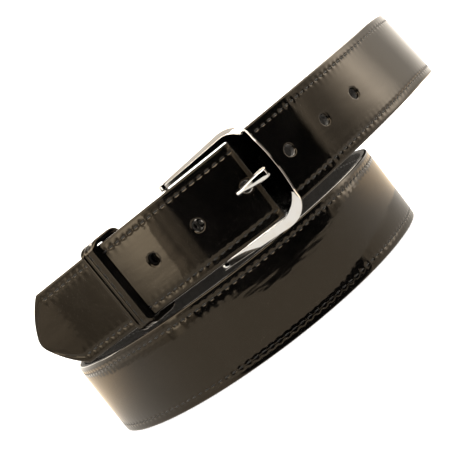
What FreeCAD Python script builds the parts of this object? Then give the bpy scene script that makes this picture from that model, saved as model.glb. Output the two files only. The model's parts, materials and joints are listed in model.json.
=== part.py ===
import FreeCAD, Part
import math
import os

# A gentleman's dress belt, buckled and coiled into two turns that stand on edge.
# The lower turn rests on its edge; the upper turn carries the buckle at the front (-Y).
# Millimetres, +Z up. Origin: on the table, under the middle of the coil's box.

# ---- driving dimensions --------------------------------------------------------------
STRAP_WIDTH = 38.1
FACE_THICK = 1.3
CORE_THICK = 1.1
LINING_THICK = 1.2
STRAP_THICK = FACE_THICK + CORE_THICK + LINING_THICK
LAYER_GAP = 0.9            # between the billet's lining and the strap behind it

HOLE_PITCH = 25.0
HOLE_COUNT = 6
HOLE_RADIUS = 2.6
HOLE_OVERCUT = 0.4         # the punch passes both sides of the strap by this much
FIRST_HOLE = 72.6          # along the strap, from the tip

TIP_LENGTH = 14.8
TIP_SIDE_RADIUS = 45.0

STITCH_INSET = 3.8
THREAD_WIDTH = 0.8
THREAD_PROUD = 0.3
THREAD_LIFT = 0.04         # clear of the leather, so that the two never share room

KEEPER_AT = 53.2           # along the strap, from the tip
KEEPER_WIDTH = 8.2
KEEPER_THICK = 2.4
KEEPER_SKEW = 5.5          # the back of the loop leans this far towards the buckle
KEEPER_PLAY = 0.4
KEEPER_SIDE_PLAY = 0.55
KEEPER_CORNER = 4.0
KEEPER_GROOVE = 0.5        # depth of the thread down the loop's middle
STAPLE_WIRE = 0.7
STAPLE_CROWN = 6.0
STAPLE_RISE = 2.0          # above mid-width

HINGE_AT = 94.0            # along the strap, from the tip
HINGE_SINK = 5.98          # hinge axis behind the billet's middle
PIN_RADIUS = 1.2
PIN_RECESS = 0.6           # the pin's ends lie this far inside the ears
RUNNING_GAP = 0.08
FOLD_THICK = 2.0
FOLD_LEG = 8.0             # from the hinge axis to the end of the full-thickness strap
SKIVE = 3.0                # the fold lies let into the strap's end by this much
TAB_LENGTH = 26.0
RAMP_START = 4.0           # the tab leaves the hinge here and
RAMP_LENGTH = 3.0          # reaches the lining this far past the strap's end
FOLD_SLOT_WIDTH = 6.4
FOLD_SLOT_REACH = 7.5

FRAME_HEADING = -19.0      # degrees from +X, seen from above
FRAME_THICK = 3.4
EAR_RADIUS = 2.1
EAR_HALF_HEIGHT = 22.3
BAR_HALF_HEIGHT = 24.1
WINDOW_HALF_HEIGHT = 19.65
BAR_INNER = 34.0           # from the hinge axis
BAR_OUTER = 44.5
BEVEL = 1.1

PRONG_WIDTH = 4.6
PRONG_THICK = 2.5
PRONG_REACH = 39.5
PRONG_REST_GAP = 0.1       # between the prong and the bar
PRONG_EDGE = 0.7           # flat along both long front edges
BARREL_WALL = 1.15
PRONG_LIFT = (0, 1, 2, 3)  # degrees the billet's hole leaves room for
POCKET_GAP = 0.4

SCREW_AT = 14.0            # behind the hinge axis, along the tab
SCREW_SPACING = 18.0
SCREW_HEAD_RADIUS = 4.2
SCREW_HEAD_THICK = 0.5
POST_HEAD_THICK = 1.0
POST_RADIUS = 2.3
SCREW_RADIUS = 1.5
SCREW_SHORT = 0.6          # of the post's inner end

# ---- the strap's way, seen from above: middle of its thickness, from the tip on ------
BILLET = [(-113.5, -61), (-82.5, -74.5), (-46.5, -92), (-22.5, -101.5), (-4.5, -103),
          (25, -92), (43.5, -79.5), (72.5, -54), (95, -26.5)]
OUTER_BACK = [(109.2, 2), (112.2, 27.5), (100, 64.5), (71.5, 93), (43, 104.5), (2, 106.5),
              (-37, 96), (-74, 73), (-100.5, 40.5)]
LOWER_FRONT = [(-113, 5.5), (-111.5, -27), (-93, -64.5), (-63.5, -90.5), (-24, -101.5),
               (14.5, -91.5), (42.5, -65), (55.5, -36.5)]
INNER_BACK = [(55, -4), (40, 28.5), (12.5, 53.5), (-23.5, 64.5), (-63.5, 57), (-91, 34.5),
              (-105, -1), (-99, -39)]
BEHIND_BILLET = [45.0, 60.0, 75.0, HINGE_AT - FOLD_LEG]

# ---- the strap's lower edge above the table ------------------------------------------
TIP_HEIGHT = 40.6
BILLET_SLOPE = 0.0222
TURN_TOP = 250.0           # where the upper turn starts down
TABLE_START = 635.0
TABLE_END = 925.0
UPPER_AGAIN = 1215.0
LEAN_AT = 300.0            # the right-hand bend leans out at the foot
LEAN_SPAN = 120.0
LEAN_DEGREES = 6.0

SAMPLE_STEP = 8.0
STRETCH = 50.0             # length of one face along the strap
LEVEL_SAMPLES = 9
LEVEL_TOLERANCE = 1e-6


class Spline:
    """A natural cubic spline through plan points, run by the length along its chords."""

    def __init__(self, points):
        self.points = points
        self.at = [0.0]
        for (x0, y0), (x1, y1) in zip(points, points[1:]):
            self.at.append(self.at[-1] + math.hypot(x1 - x0, y1 - y0))
        self.bend = [self.bends([p[axis] for p in points]) for axis in (0, 1)]

    def bends(self, values):
        gaps = [b - a for a, b in zip(self.at, self.at[1:])]
        upper = [0.0]
        right = [0.0]
        for i in range(1, len(values) - 1):
            rise = (values[i + 1] - values[i]) / gaps[i]
            rise -= (values[i] - values[i - 1]) / gaps[i - 1]
            pivot = 2 * (gaps[i - 1] + gaps[i]) - gaps[i - 1] * upper[-1]
            upper.append(gaps[i] / pivot)
            right.append((6 * rise - gaps[i - 1] * right[-1]) / pivot)
        result = [0.0] * len(values)
        for i in range(len(values) - 2, 0, -1):
            result[i] = right[i] - upper[i] * result[i + 1]
        return result

    def place(self, s):
        """Position and unit direction at s."""
        i = 0
        while i < len(self.at) - 2 and s > self.at[i + 1]:
            i += 1
        gap = self.at[i + 1] - self.at[i]
        b = (s - self.at[i]) / gap
        a = 1 - b
        position = []
        direction = []
        for axis in (0, 1):
            v0 = self.points[i][axis]
            v1 = self.points[i + 1][axis]
            m0 = self.bend[axis][i]
            m1 = self.bend[axis][i + 1]
            bulge = ((a ** 3 - a) * m0 + (b ** 3 - b) * m1) * gap ** 2 / 6
            position.append(a * v0 + b * v1 + bulge)
            slant = ((1 - 3 * a ** 2) * m0 + (3 * b ** 2 - 1) * m1) * gap / 6
            direction.append((v1 - v0) / gap + slant)
        length = math.hypot(*direction)
        return position, [d / length for d in direction]


def behind(spline, s, depth):
    (x, y), (dx, dy) = spline.place(s)
    return x - dy * depth, y + dx * depth


def full_way():
    first = Spline(BILLET + OUTER_BACK)
    depth = STRAP_THICK + LAYER_GAP
    last = [behind(first, s, depth) for s in BEHIND_BILLET]
    return Spline(BILLET + OUTER_BACK + LOWER_FRONT + INNER_BACK + last)


WAY = full_way()
STRAP_END = WAY.at[-1]


def ease(s, start, end):
    u = min(max((s - start) / (end - start), 0.0), 1.0)
    return u * u * (3 - 2 * u)


def edge_height(s):
    rise = TIP_HEIGHT + BILLET_SLOPE * min(s, TURN_TOP)
    down = 1 - ease(s, TURN_TOP, TABLE_START)
    last = TIP_HEIGHT + BILLET_SLOPE * (s - STRAP_END + HINGE_AT - FOLD_LEG)
    return rise * down + last * ease(s, TABLE_END, UPPER_AGAIN)


class Spot:
    """A local frame on the strap: along it, up its width, and out of its face."""

    def __init__(self, s):
        (x, y), (dx, dy) = WAY.place(s)
        step = 1.0
        climb = math.atan((edge_height(s + step) - edge_height(s - step)) / (2 * step))
        flat = FreeCAD.Vector(dx, dy, 0)
        sky = FreeCAD.Vector(0, 0, 1)
        self.along = flat * math.cos(climb) + sky * math.sin(climb)
        self.up = sky * math.cos(climb) - flat * math.sin(climb)
        self.out = FreeCAD.Vector(dy, -dx, 0)
        share = max(0.0, 1 - ((s - LEAN_AT) / LEAN_SPAN) ** 2)
        self.lean = math.tan(math.radians(LEAN_DEGREES)) * share ** 2
        self.foot = FreeCAD.Vector(x, y, edge_height(s))

    def point(self, height, out):
        """height from the lower edge, out from the middle of the thickness."""
        shift = out + self.lean * (STRAP_WIDTH / 2 - height)
        return self.foot + self.up * height + self.out * shift

    def placement(self, height, out):
        origin = self.point(height, out)
        turn = FreeCAD.Rotation(self.along, self.up, self.out, "XYZ")
        return FreeCAD.Placement(origin, turn)


def marks(start, end, spacing):
    """Evenly spaced places on the strap, with one at each change of its height."""
    turns = [s for s in (TURN_TOP, TABLE_START, TABLE_END, UPPER_AGAIN) if start < s < end]
    ends = [start] + turns + [end]
    places = [start]
    for a, b in zip(ends, ends[1:]):
        count = max(1, round((b - a) / spacing))
        places += [a + (b - a) * i / count for i in range(1, count + 1)]
    return places


def rail(start, end, height, out):
    """One long edge of a stretch, with the strap's own direction at both ends."""
    count = max(2, round((end - start) / SAMPLE_STEP))
    places = [start + (end - start) * i / count for i in range(count + 1)]
    pull = []
    for s in (start, end):
        pull.append(Spot(s + 0.5).point(height, out) - Spot(s - 0.5).point(height, out))
    curve = Part.BSplineCurve()
    curve.interpolate(Points=[Spot(s).point(height, out) for s in places], Parameters=places,
                      InitialTangent=pull[0], FinalTangent=pull[1], Scale=False)
    return curve.toShape()


def strip_face(a, b):
    """The face between two rails: plane where the strap stands level, ruled elsewhere."""
    heights = [v.z for edge in (a, b) for v in edge.discretize(Number=LEVEL_SAMPLES)]
    if max(heights) - min(heights) > LEVEL_TOLERANCE:
        return Part.makeRuledSurface(a, b)
    ends = [Part.makeLine(a.valueAt(u), b.valueAt(u)) for u in a.ParameterRange]
    return Part.Face(Part.Wire(Part.__sortEdges__([a, ends[0], b, ends[1]])))


def ribbon(start, end, low, high, inner, outer):
    """A strip of the strap between two heights and two depths, stretch after stretch."""
    corners = [(low, inner), (low, outer), (high, outer), (high, inner)]
    faces = []
    places = marks(start, end, STRETCH)
    for s, after in zip(places, places[1:]):
        rails = [rail(s, after, height, out) for height, out in corners]
        faces += [strip_face(a, b) for a, b in zip(rails, rails[1:] + rails[:1])]
    for s in (start, end):
        ring = [Spot(s).point(height, out) for height, out in corners]
        faces.append(Part.Face(Part.makePolygon(ring + ring[:1])))
    shell = Part.makeShell(faces)
    shell.sewShape()
    solid = Part.makeSolid(shell)
    if solid.Volume < 0:
        solid.reverse()
    return solid


# ---- the tip, flat: x along the strap from its end, y up from mid-width --------------
def tip_outline(inset):
    """Closed outline of the rounded point, kept inset from the strap's edges."""
    half = STRAP_WIDTH / 2
    chord = math.hypot(TIP_LENGTH, half)
    sink = math.sqrt(TIP_SIDE_RADIUS ** 2 - (chord / 2) ** 2)
    centre_x = TIP_LENGTH / 2 + half / chord * sink
    centre_y = half / 2 - TIP_LENGTH / chord * sink
    radius = TIP_SIDE_RADIUS - inset
    top = half - inset
    shoulder = centre_x - math.sqrt(radius ** 2 - (top - centre_y) ** 2)
    nose_y = 2.0
    nose_x = centre_x - math.sqrt(radius ** 2 - (nose_y - centre_y) ** 2)
    mid_y = (top + nose_y) / 2
    mid_x = centre_x - math.sqrt(radius ** 2 - (mid_y - centre_y) ** 2)
    slope = (nose_y - centre_y) / (centre_x - nose_x)
    front = nose_x - nose_y * slope / 2
    back = 2 * TIP_LENGTH
    points = [(back, -top), (shoulder, -top), (mid_x, -mid_y), (nose_x, -nose_y), (front, 0)]
    corner = [FreeCAD.Vector(x, y, 0) for x, y in points]
    upper = [FreeCAD.Vector(v.x, -v.y, 0) for v in corner]
    edges = [Part.makeLine(corner[0], corner[1])]
    edges.append(Part.Arc(corner[1], corner[2], corner[3]).toShape())
    edges.append(Part.Arc(corner[3], corner[4], upper[3]).toShape())
    edges.append(Part.Arc(upper[3], upper[2], upper[1]).toShape())
    edges.append(Part.makeLine(upper[1], upper[0]))
    return edges, Part.makeLine(upper[0], corner[0])


def prism(edges, low, high):
    face = Part.Face(Part.Wire(edges))
    face.translate(FreeCAD.Vector(0, 0, low))
    return face.extrude(FreeCAD.Vector(0, 0, high - low))


def tip_waste():
    """Everything outside the point, over the strap's whole thickness."""
    edges, closing = tip_outline(0)
    reach = 4.0
    point = prism(edges + [closing], -reach, reach)
    block = Part.makeBox(TIP_LENGTH + reach, STRAP_WIDTH + 2 * reach, 2 * reach,
                         FreeCAD.Vector(-reach, -STRAP_WIDTH / 2 - reach, -reach))
    waste = block.cut(point)
    waste.Placement = Spot(0).placement(STRAP_WIDTH / 2, 0)
    return waste


def tip_thread(base, top):
    """The run of stitching around the point."""
    outer, outer_closing = tip_outline(STITCH_INSET - THREAD_WIDTH / 2)
    inner, inner_closing = tip_outline(STITCH_INSET + THREAD_WIDTH / 2)
    band = prism(outer + [outer_closing], base, top)
    band = band.cut(prism(inner + [inner_closing], base - 1, top + 1))
    keep = Part.makeBox(TIP_LENGTH, STRAP_WIDTH, 4, FreeCAD.Vector(0, -STRAP_WIDTH / 2, -2))
    keep.translate(FreeCAD.Vector(0, 0, (base + top) / 2))
    band = band.common(keep)
    band.Placement = Spot(0).placement(STRAP_WIDTH / 2, 0)
    return band


def thread(base, top):
    low = STITCH_INSET - THREAD_WIDTH / 2
    high = STITCH_INSET + THREAD_WIDTH / 2
    start = TIP_LENGTH - 0.5
    end = STRAP_END - 2.0
    lower = ribbon(start, end, low, high, base, top)
    upper = ribbon(start, end, STRAP_WIDTH - high, STRAP_WIDTH - low, base, top)
    return lower.fuse([upper, tip_thread(base, top)]).removeSplitter()


# ---- buckle: x from the hinge axis to the bar, y up, z out of the face ---------------
def buckle_placement():
    spot = Spot(HINGE_AT)
    origin = spot.point(STRAP_WIDTH / 2, -HINGE_SINK)
    heading = math.radians(FRAME_HEADING)
    across = FreeCAD.Vector(math.cos(heading), math.sin(heading), 0)
    out = across.cross(spot.up)
    return FreeCAD.Placement(origin, FreeCAD.Rotation(across, spot.up, out, "ZYX"))


def hinge_cylinder(radius, length):
    base = FreeCAD.Vector(0, -length / 2, 0)
    return Part.makeCylinder(radius, length, base, FreeCAD.Vector(0, 1, 0))


def frame_outline():
    corner_x = BAR_INNER - 1.5
    side_x = BAR_OUTER - 1.1
    side_y = 14.0
    turn = 0.75
    mid_x = corner_x + (side_x - corner_x) * turn
    mid_y = side_y + (BAR_HALF_HEIGHT - side_y) * turn
    upper = [(0, EAR_HALF_HEIGHT), (corner_x, BAR_HALF_HEIGHT), (mid_x, mid_y), (side_x, side_y)]
    top = [FreeCAD.Vector(x, y, 0) for x, y in upper]
    low = [FreeCAD.Vector(x, -y, 0) for x, y in upper]
    nose = FreeCAD.Vector(BAR_OUTER, 0, 0)
    edges = [Part.makeLine(low[0], low[1])]
    edges.append(Part.Arc(low[1], low[2], low[3]).toShape())
    edges.append(Part.Arc(low[3], nose, top[3]).toShape())
    edges.append(Part.Arc(top[3], top[2], top[1]).toShape())
    edges.append(Part.makeLine(top[1], top[0]))
    edges.append(Part.makeLine(top[0], low[0]))
    return edges


def make_frame():
    """Plate with a bevelled front, ears for the pin, and the window cut through."""
    shoulder = FRAME_THICK / 2 - BEVEL
    plate = prism(frame_outline(), -FRAME_THICK / 2, shoulder)
    rim = Part.Wire(frame_outline())
    crown = rim.makeOffset2D(-BEVEL)
    rim.translate(FreeCAD.Vector(0, 0, shoulder))
    crown.translate(FreeCAD.Vector(0, 0, FRAME_THICK / 2))
    bevel = Part.makeLoft([rim, crown], True, True)
    ears = hinge_cylinder(EAR_RADIUS, 2 * EAR_HALF_HEIGHT)
    window = Part.makeBox(BAR_INNER + 2 * EAR_RADIUS, 2 * WINDOW_HALF_HEIGHT, 4 * EAR_RADIUS,
                          FreeCAD.Vector(-2 * EAR_RADIUS, -WINDOW_HALF_HEIGHT, -2 * EAR_RADIUS))
    solid = plate.fuse([bevel, ears]).cut(window)
    return solid.cut(hinge_cylinder(PIN_RADIUS, 2 * pin_half())).removeSplitter()


def pin_half():
    return EAR_HALF_HEIGHT - PIN_RECESS


def prong_profile(extra):
    """Side view of the shank, x from the hinge axis, y out of the face."""
    end = PRONG_REACH
    tip_radius = PRONG_THICK / 2
    rest = FRAME_THICK / 2 + PRONG_REST_GAP
    rise = rest + PRONG_THICK / 2
    middle = [(0, -0.1), (8, 0.1), (16, 0.5), (22, 1.3), (28, rise - 0.3),
              (33, rise + 0.25), (end - tip_radius, rise)]
    half = PRONG_THICK / 2 + extra
    curve = Part.BSplineCurve()
    curve.interpolate([FreeCAD.Vector(x, y - half, 0) for x, y in middle])
    lower = curve.toShape()
    curve = Part.BSplineCurve()
    curve.interpolate([FreeCAD.Vector(x, y + half, 0) for x, y in middle])
    upper = curve.toShape()
    nose = Part.Arc(FreeCAD.Vector(end - tip_radius, rise - half, 0),
                    FreeCAD.Vector(end + extra, rise, 0),
                    FreeCAD.Vector(end - tip_radius, rise + half, 0)).toShape()
    root = Part.makeLine(FreeCAD.Vector(0, middle[0][1] + half, 0),
                         FreeCAD.Vector(0, middle[0][1] - half, 0))
    return [lower, nose, upper, root]


def prong_shank(extra):
    half = PRONG_WIDTH / 2 + extra
    shank = prism(prong_profile(extra), -half, half)
    shank.rotate(FreeCAD.Vector(), FreeCAD.Vector(1, 0, 0), 90)
    return shank


def make_prong():
    shank = prong_shank(0)
    long_edges = [e for e in shank.Edges
                  if e.BoundBox.XLength > PRONG_REACH / 2 and e.BoundBox.ZMax > 3.0]
    shank = shank.makeChamfer(PRONG_EDGE, long_edges)
    barrel = hinge_cylinder(PIN_RADIUS + RUNNING_GAP + BARREL_WALL, PRONG_WIDTH)
    solid = shank.fuse(barrel)
    bore = hinge_cylinder(PIN_RADIUS + RUNNING_GAP, 2 * PRONG_WIDTH)
    return solid.cut(bore).removeSplitter()


def prong_pocket():
    """The room the prong takes in the billet over its travel."""
    shapes = []
    for degrees in PRONG_LIFT:
        shape = prong_shank(POCKET_GAP)
        shape.rotate(FreeCAD.Vector(), FreeCAD.Vector(0, 1, 0), -degrees)
        shapes.append(shape)
    return shapes[0].fuse(shapes[1:])


# ---- fold and tab: x from the hinge axis, y up, z out of the face -------------------
def fold_placement():
    """At the hinge axis, turned to lie along the end of the strap."""
    origin = Spot(HINGE_AT).point(STRAP_WIDTH / 2, -HINGE_SINK)
    along = Spot(STRAP_END - TAB_LENGTH / 3)
    turn = FreeCAD.Rotation(along.along, along.up, along.out, "YXZ")
    return FreeCAD.Placement(origin, turn)


def lining_level():
    """Height of the lining's back in the fold's frame, at the middle of the tab."""
    spot = Spot(STRAP_END - TAB_LENGTH / 3)
    back = spot.point(STRAP_WIDTH / 2, -STRAP_THICK / 2)
    return (back - fold_placement().Base).dot(spot.out)


def make_fold():
    """The skived end of the strap: around the hinge pin and back behind the lining."""
    inner = PIN_RADIUS + RUNNING_GAP
    outer = inner + FOLD_THICK
    ring = hinge_cylinder(outer, STRAP_WIDTH).cut(hinge_cylinder(inner, STRAP_WIDTH))
    half = Part.makeBox(2 * outer, STRAP_WIDTH, 4 * outer,
                        FreeCAD.Vector(0, -STRAP_WIDTH / 2, -2 * outer))
    bend = ring.common(half)
    front = Part.makeBox(FOLD_LEG + SKIVE, STRAP_WIDTH, FOLD_THICK,
                         FreeCAD.Vector(-FOLD_LEG - SKIVE, -STRAP_WIDTH / 2, inner))
    level = lining_level()
    settled = -FOLD_LEG - RAMP_LENGTH
    step = [(0, -inner), (-RAMP_START, -inner), (settled, level), (-TAB_LENGTH, level),
            (-TAB_LENGTH, level - FOLD_THICK), (settled, level - FOLD_THICK),
            (-RAMP_START, -outer), (0, -outer)]
    ring = [FreeCAD.Vector(x, -STRAP_WIDTH / 2, z) for x, z in step]
    tab = Part.Face(Part.makePolygon(ring + ring[:1]))
    tab = tab.extrude(FreeCAD.Vector(0, STRAP_WIDTH, 0))
    reach = FOLD_SLOT_REACH + outer
    slot = Part.makeBox(reach, FOLD_SLOT_WIDTH, 4 * outer,
                        FreeCAD.Vector(-FOLD_SLOT_REACH, -FOLD_SLOT_WIDTH / 2, -2 * outer))
    solid = bend.fuse([front, tab]).removeSplitter().cut(slot)
    solid.Placement = fold_placement()
    return solid


def disc_stack(discs):
    """Discs on one axis, each (radius, from, to), measured out of the face."""
    parts = [Part.makeCylinder(r, b - a, FreeCAD.Vector(0, 0, a)) for r, a, b in discs]
    return parts[0].fuse(parts[1:]).removeSplitter() if len(parts) > 1 else parts[0]


def fold_pair(shape):
    """The same fastener twice, side by side across the tab."""
    result = []
    for side in (-1, 1):
        copy = shape.copy()
        copy.translate(FreeCAD.Vector(-SCREW_AT, side * SCREW_SPACING / 2, 0))
        copy.Placement = fold_placement().multiply(copy.Placement)
        result.append(copy)
    return result


def make_fold_fasteners():
    """Posts from behind the tab and the screws that close them on the strap's face."""
    level = lining_level()
    face = level + STRAP_THICK + THREAD_LIFT
    tab_back = level - FOLD_THICK
    thread_end = tab_back + SCREW_SHORT
    post = disc_stack([(SCREW_HEAD_RADIUS, tab_back - POST_HEAD_THICK, tab_back),
                       (POST_RADIUS, tab_back - POST_HEAD_THICK, face)])
    screw = disc_stack([(SCREW_HEAD_RADIUS, face, face + SCREW_HEAD_THICK),
                        (SCREW_RADIUS, thread_end, face + SCREW_HEAD_THICK)])
    post = post.cut(disc_stack([(SCREW_RADIUS, thread_end, face + SCREW_HEAD_THICK)]))
    bore = disc_stack([(POST_RADIUS, tab_back - 1, face + 1)])
    return fold_pair(post), fold_pair(screw), fold_pair(bore)


# ---- keeper --------------------------------------------------------------------------
def rounded_box(half_y, low_z, high_z, radius, width):
    points = [(-half_y, low_z), (half_y, low_z), (half_y, high_z), (-half_y, high_z)]
    ring = [FreeCAD.Vector(-width / 2, y, z) for y, z in points]
    face = Part.Face(Part.makePolygon(ring + ring[:1]))
    solid = face.extrude(FreeCAD.Vector(width, 0, 0))
    sides = [e for e in solid.Edges if e.BoundBox.XLength > width - 0.01]
    return solid.makeFillet(radius, sides)


def make_keeper():
    """The loop, the thread down its middle, and the staple that closes it behind."""
    half = STRAP_WIDTH / 2 + KEEPER_SIDE_PLAY
    front = STRAP_THICK / 2 + THREAD_PROUD + KEEPER_PLAY
    back = -STRAP_THICK * 1.5 - LAYER_GAP - THREAD_PROUD - KEEPER_PLAY

    def loop(grow, radius, width):
        return rounded_box(half + grow, back - grow, front + grow, radius, width)

    band = loop(KEEPER_THICK, KEEPER_CORNER, KEEPER_WIDTH)
    band = band.cut(loop(0, KEEPER_CORNER - KEEPER_THICK * 1.5, 2 * KEEPER_WIDTH))
    seam = loop(KEEPER_THICK, KEEPER_CORNER, THREAD_WIDTH)
    seam = seam.cut(loop(KEEPER_THICK - KEEPER_GROOVE,
                         KEEPER_CORNER - KEEPER_GROOVE, 2 * THREAD_WIDTH))
    band = band.cut(seam)
    outside = back - KEEPER_THICK
    bridge = Part.makeBox(STAPLE_CROWN, STAPLE_WIRE, STAPLE_WIRE,
                          FreeCAD.Vector(-STAPLE_CROWN / 2, STAPLE_RISE, outside - STAPLE_WIRE))
    legs = []
    for side in (-1, 1):
        x = side * (STAPLE_CROWN - STAPLE_WIRE) / 2 - STAPLE_WIRE / 2
        corner = FreeCAD.Vector(x, STAPLE_RISE, outside - STAPLE_WIRE)
        legs.append(Part.makeBox(STAPLE_WIRE, STAPLE_WIRE,
                                 KEEPER_THICK + STAPLE_WIRE, corner))
    staple = bridge.fuse(legs).removeSplitter()
    band = band.cut(staple)
    shear = FreeCAD.Matrix()
    shear.A13 = -KEEPER_SKEW / (front - back)
    place = Spot(KEEPER_AT).placement(STRAP_WIDTH / 2, 0)
    result = []
    for shape in (band, seam, staple):
        leaned = shape.transformGeometry(shear)
        leaned.Placement = place.multiply(leaned.Placement)
        result.append(leaned)
    return result


# ---- build ---------------------------------------------------------------------------
def hole_cutters():
    cutters = []
    for i in range(HOLE_COUNT):
        cutter = Part.makeCylinder(HOLE_RADIUS, STRAP_THICK + 2 * HOLE_OVERCUT,
                                   FreeCAD.Vector(0, 0, -STRAP_THICK / 2 - HOLE_OVERCUT))
        cutter.Placement = Spot(FIRST_HOLE + i * HOLE_PITCH).placement(STRAP_WIDTH / 2, 0)
        cutters.append(cutter)
    return cutters


def save(name, shapes):
    shape = shapes[0] if len(shapes) == 1 else Part.makeCompound(shapes)
    shape.exportStep("parts/" + name + ".step")


os.makedirs("parts", exist_ok=True)

buckle_at = buckle_placement()

face_out = STRAP_THICK / 2
face_in = face_out - FACE_THICK
core_in = face_in - CORE_THICK
lining_in = core_in - LINING_THICK

fold = make_fold()
posts, screws, bores = make_fold_fasteners()
pocket = prong_pocket()
pocket.Placement = buckle_at
waste = [tip_waste(), pocket, fold] + hole_cutters() + bores
layers = {"strap_face": (face_in, face_out),
          "strap_core": (core_in, face_in),
          "strap_lining": (lining_in, core_in)}
for name, (inner, outer) in layers.items():
    layer = ribbon(0, STRAP_END, 0, STRAP_WIDTH, inner, outer)
    save(name, [layer.cut(waste)])

on_face = face_out + THREAD_LIFT
on_lining = lining_in - THREAD_LIFT
save("thread_face", [thread(on_face, on_face + THREAD_PROUD)])
save("thread_lining", [thread(on_lining - THREAD_PROUD, on_lining).cut(fold)])

save("fold_tab", [fold.cut(bores)])
save("fold_posts", posts)
save("fold_screws", screws)

frame = make_frame()
frame.Placement = buckle_at
save("buckle_frame", [frame])
pin = hinge_cylinder(PIN_RADIUS, 2 * pin_half())
pin.Placement = buckle_at
save("hinge_pin", [pin])
prong = make_prong()
prong.Placement = buckle_at
save("prong", [prong])

band, seam, staple = make_keeper()
save("keeper_band", [band])
save("keeper_thread", [seam])
save("keeper_staple", [staple])
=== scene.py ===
import json
import math

import bpy
import numpy as np
from mathutils import Matrix, Vector


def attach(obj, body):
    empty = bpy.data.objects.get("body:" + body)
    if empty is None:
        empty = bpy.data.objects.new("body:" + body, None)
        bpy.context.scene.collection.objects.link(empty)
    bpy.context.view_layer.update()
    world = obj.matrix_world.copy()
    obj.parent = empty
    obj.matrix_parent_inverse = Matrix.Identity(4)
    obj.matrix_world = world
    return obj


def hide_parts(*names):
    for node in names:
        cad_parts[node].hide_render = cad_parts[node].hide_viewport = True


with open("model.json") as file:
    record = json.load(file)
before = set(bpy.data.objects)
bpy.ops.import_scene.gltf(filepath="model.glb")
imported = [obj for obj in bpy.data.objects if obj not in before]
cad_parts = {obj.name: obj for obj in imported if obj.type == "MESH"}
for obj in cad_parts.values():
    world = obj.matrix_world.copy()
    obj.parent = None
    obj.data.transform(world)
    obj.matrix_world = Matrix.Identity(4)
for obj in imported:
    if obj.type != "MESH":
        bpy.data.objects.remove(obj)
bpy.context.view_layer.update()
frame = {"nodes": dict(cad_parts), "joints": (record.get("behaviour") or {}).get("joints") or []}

MM = 0.001

# ---- the belt's own sizes, in millimetres, as in the part ----------------------------
WIDTH = 38.1
THICK = 3.6
FACE_BACK = 0.5            # depth of the joint between face and filler
LINING_FRONT = -0.6        # depth of the joint between filler and lining
TIP_LENGTH = 14.8
TIP_SIDE_RADIUS = 45.0
TIP_START = 0.41
NOSE_RADIUS = 4.4
NOSE_LENGTH = 0.47
STITCH_INSET = 3.8
STITCH_PITCH = 3.85
STITCH_LENGTH = 2.5
STITCH_WIDTH = 0.74
TIP_STITCH_PITCH = 3.3
FIRST_HOLE = 72.6
HOLE_PITCH = 25.0
HOLES = [FIRST_HOLE + HOLE_PITCH * i for i in range(6)]
HOLE_RADIUS = 2.6
KEEPER_AT = 53.2
HINGE_AT = 94.0
FOLD_LEG = 8.0
FRAME_HEADING = math.radians(-19.0)
FRAME_THICK = 3.4
PRONG_WIDTH = 4.6
PRONG_THICK = 2.5
PRONG_REST_GAP = 0.1
BARREL_RADIUS = 2.43
PIN_BORE = 1.28

# ---- the strap's way, seen from above, from the tip on -------------------------------
BILLET = [(-113.5, -61), (-82.5, -74.5), (-46.5, -92), (-22.5, -101.5), (-4.5, -103),
          (25, -92), (43.5, -79.5), (72.5, -54), (95, -26.5)]
OUTER_BACK = [(109.2, 2), (112.2, 27.5), (100, 64.5), (71.5, 93), (43, 104.5), (2, 106.5),
              (-37, 96), (-74, 73), (-100.5, 40.5)]
LOWER_FRONT = [(-113, 5.5), (-111.5, -27), (-93, -64.5), (-63.5, -90.5), (-24, -101.5),
               (14.5, -91.5), (42.5, -65), (55.5, -36.5)]
INNER_BACK = [(55, -4), (40, 28.5), (12.5, 53.5), (-23.5, 64.5), (-63.5, 57), (-91, 34.5),
              (-105, -1), (-99, -39)]
BEHIND_BILLET = [45.0, 60.0, 75.0, HINGE_AT - FOLD_LEG]
LAYER_GAP = 0.9

TIP_HEIGHT = 40.6
BILLET_SLOPE = 0.0222
TURN_TOP = 250.0
TABLE_START = 635.0
TABLE_END = 925.0
UPPER_AGAIN = 1215.0
LEAN_AT = 300.0
LEAN_SPAN = 120.0
LEAN_DEGREES = 6.0


class Spline:
    """Natural cubic spline through plan points, run by the length along its chords."""

    def __init__(self, points):
        self.points = np.array(points, float)
        gaps = np.hypot(*np.diff(self.points, axis=0).T)
        self.at = np.concatenate([[0], np.cumsum(gaps)])
        count = len(points)
        system = np.eye(count)
        right = np.zeros((count, 2))
        for i in range(1, count - 1):
            before, after = gaps[i - 1], gaps[i]
            system[i, i - 1:i + 2] = before, 2 * (before + after), after
            rise = (self.points[i + 1] - self.points[i]) / after
            right[i] = 6 * (rise - (self.points[i] - self.points[i - 1]) / before)
        self.bend = np.linalg.solve(system, right)

    def place(self, s):
        """Positions and unit directions at an array of s."""
        s = np.atleast_1d(np.asarray(s, float))
        i = np.clip(np.searchsorted(self.at, s, side="right") - 1, 0, len(self.at) - 2)
        gap = (self.at[i + 1] - self.at[i])[:, None]
        b = (s - self.at[i])[:, None] / gap
        a = 1 - b
        p0, p1, m0, m1 = self.points[i], self.points[i + 1], self.bend[i], self.bend[i + 1]
        position = a * p0 + b * p1 + ((a ** 3 - a) * m0 + (b ** 3 - b) * m1) * gap ** 2 / 6
        slope = (p1 - p0) / gap + ((1 - 3 * a ** 2) * m0 + (3 * b ** 2 - 1) * m1) * gap / 6
        return position, slope / np.linalg.norm(slope, axis=1)[:, None]


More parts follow.
